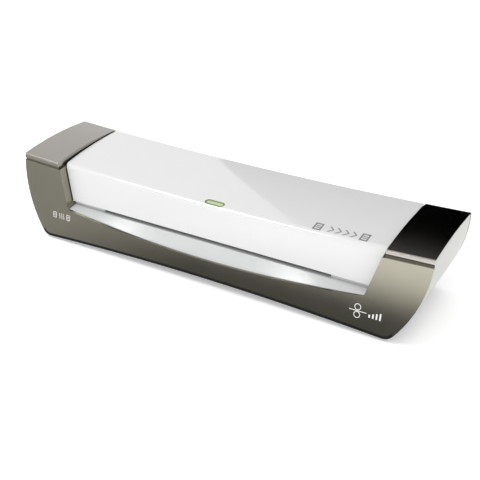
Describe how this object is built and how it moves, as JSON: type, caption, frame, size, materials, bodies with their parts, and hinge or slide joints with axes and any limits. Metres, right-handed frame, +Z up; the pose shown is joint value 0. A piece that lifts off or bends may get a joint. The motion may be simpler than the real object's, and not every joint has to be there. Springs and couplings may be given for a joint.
{
  "type": "pouch laminator",
  "caption": "Desktop pouch laminator with a front entry slot under a lit button, geared hot and pull rollers, a rear exit slot and a release lever.",
  "frame": {"origin": "under the middle of the casing, on the surface that the feet stand on", "axes": "+X to the user's right along the length, +Y to the rear, +Z up"},
  "size_m": [0.45, 0.1141, 0.0894],
  "materials": {
    "base_plastic": "moulded black ABS, fine texture",
    "brass": "machined brass",
    "bright_steel": "ground steel",
    "bush_plastic": "heat proof polymer",
    "button_green": "translucent lime green light pipe",
    "cap_metallic": "ABS with a metallic taupe lacquer",
    "circuit_board": "green solder mask",
    "cover_white": "polished white ABS",
    "cutout_metal": "plated steel case",
    "foot_rubber": "soft black rubber",
    "frame_metallic": "ABS with a metallic taupe lacquer",
    "gear_plastic": "natural acetal",
    "guide_plastic": "black heat proof plastic",
    "heater_aluminium": "extruded, mill finish",
    "heater_ceramic": "ceramic heater strip",
    "lead_pvc": "red PVC insulation",
    "lever_plastic": "grey ABS",
    "motor_can": "drawn steel can",
    "moulded_black": "black nylon",
    "panel_white": "satin white ABS",
    "pin_brass": "plated brass",
    "rear_plastic": "moulded dark ABS, fine texture",
    "sheet_steel": "galvanised sheet",
    "silicone": "red-brown silicone rubber",
    "spring_steel": "drawn spring wire",
    "transformer_core": "varnished steel laminations",
    "tray_white": "polished white ABS",
    "zinc_screw": "zinc plated"
  },
  "bodies": {
    "casing": {"base_tray": "base_plastic", "board_parts": "moulded_black", "button_board": "circuit_board", "casing_screws": "zinc_screw", "chassis_screws": "zinc_screw", "control_board": "circuit_board", "drive_bracket": "sheet_steel", "entry_tray": "tray_white", "exit_guide": "guide_plastic", "front_frame": "frame_metallic", "guide_pins": "bright_steel", "heat_cutouts": "cutout_metal", "idler_pin": "bright_steel", "inlet_pins": "pin_brass", "left_end_cap": "cap_metallic", "left_side_panel": "panel_white", "left_side_plate": "sheet_steel", "lower_bushes": "bush_plastic", "lower_heater_plate": "heater_aluminium", "lower_heater_strip": "heater_ceramic", "mains_inlet": "moulded_black", "motor": "motor_can", "motor_leads": "lead_pvc", "pouch_guides": "guide_plastic", "pressure_springs": "spring_steel", "rear_panel": "rear_plastic", "right_end_cap": "cap_metallic", "right_side_panel": "panel_white", "right_side_plate": "sheet_steel", "rubber_feet": "foot_rubber", "tact_switch": "moulded_black", "tie_bars": "bright_steel", "top_cover": "cover_white", "transformer": "transformer_core", "upper_heater_plate": "heater_aluminium", "upper_heater_strip": "heater_ceramic"},
    "button": {"power_button": "button_green", "switch_plunger": "moulded_black"},
    "lower_hot_roller": {"lower_hot_shaft": "bright_steel", "lower_hot_sleeve": "silicone", "lower_hot_gear": "gear_plastic"},
    "lower_pull_roller": {"lower_pull_shaft": "bright_steel", "lower_pull_sleeve": "silicone", "lower_pull_gear": "gear_plastic"},
    "upper_hot_roller": {"upper_hot_shaft": "bright_steel", "upper_hot_sleeve": "silicone", "upper_hot_gear": "gear_plastic"},
    "upper_pull_roller": {"upper_pull_shaft": "bright_steel", "upper_pull_sleeve": "silicone", "upper_pull_gear": "gear_plastic"},
    "lift_frame": {"left_lift_plate": "sheet_steel", "right_lift_plate": "sheet_steel", "lift_bar": "bright_steel", "upper_bushes": "bush_plastic"},
    "release": {"release_shaft": "bright_steel", "release_cams": "gear_plastic", "release_lever": "lever_plastic"},
    "idler": {"idler_gear": "gear_plastic"},
    "motor_rotor": {"motor_pinion": "brass", "motor_shaft": "bright_steel"}
  },
  "joints": [
    {"name": "button_press", "type": "slide", "parent": "casing", "child": "button", "axis": [0, 0.342, -0.9397], "range_m": [0, 0.0008], "stiffness_N_per_m": 300, "springref_m": -0.001},
    {"name": "lower_hot_spin", "type": "hinge", "parent": "casing", "child": "lower_hot_roller", "pos_m": [0, -0.012, 0.03135], "axis": [1, 0, 0], "continuous": true},
    {"name": "lower_pull_spin", "type": "hinge", "parent": "casing", "child": "lower_pull_roller", "pos_m": [0, 0.02202, 0.03135], "axis": [1, 0, 0], "continuous": true},
    {"name": "idler_spin", "type": "hinge", "parent": "casing", "child": "idler", "pos_m": [0, 0.00501, 0.0246], "axis": [1, 0, 0], "continuous": true},
    {"name": "motor_spin", "type": "hinge", "parent": "casing", "child": "motor_rotor", "pos_m": [0, 0.03208, 0.02129], "axis": [1, 0, 0], "continuous": true},
    {"name": "release_turn", "type": "hinge", "parent": "casing", "child": "release", "pos_m": [0, 0.04, 0.06], "axis": [-1, 0, 0], "range_deg": [0, 25]},
    {"name": "lift_slide", "type": "slide", "parent": "casing", "child": "lift_frame", "axis": [0, 0, 1], "range_m": [0, 0.001], "deforming": ["pressure_springs"]},
    {"name": "upper_hot_spin", "type": "hinge", "parent": "lift_frame", "child": "upper_hot_roller", "pos_m": [0, -0.012, 0.04965], "axis": [1, 0, 0], "continuous": true},
    {"name": "upper_pull_spin", "type": "hinge", "parent": "lift_frame", "child": "upper_pull_roller", "pos_m": [0, 0.02202, 0.04965], "axis": [1, 0, 0], "continuous": true}
  ],
  "couplings": [
    {"joint": "lower_pull_spin", "follows": "lower_hot_spin", "ratio": 1},
    {"joint": "idler_spin", "follows": "lower_hot_spin", "ratio": -1},
    {"joint": "motor_spin", "follows": "lower_hot_spin", "ratio": -1.8},
    {"joint": "upper_hot_spin", "follows": "lower_hot_spin", "ratio": -1},
    {"joint": "upper_pull_spin", "follows": "lower_hot_spin", "ratio": -1},
    {"joint": "release_turn", "follows": "lift_slide", "rad_per_m": 436.31}
  ]
}
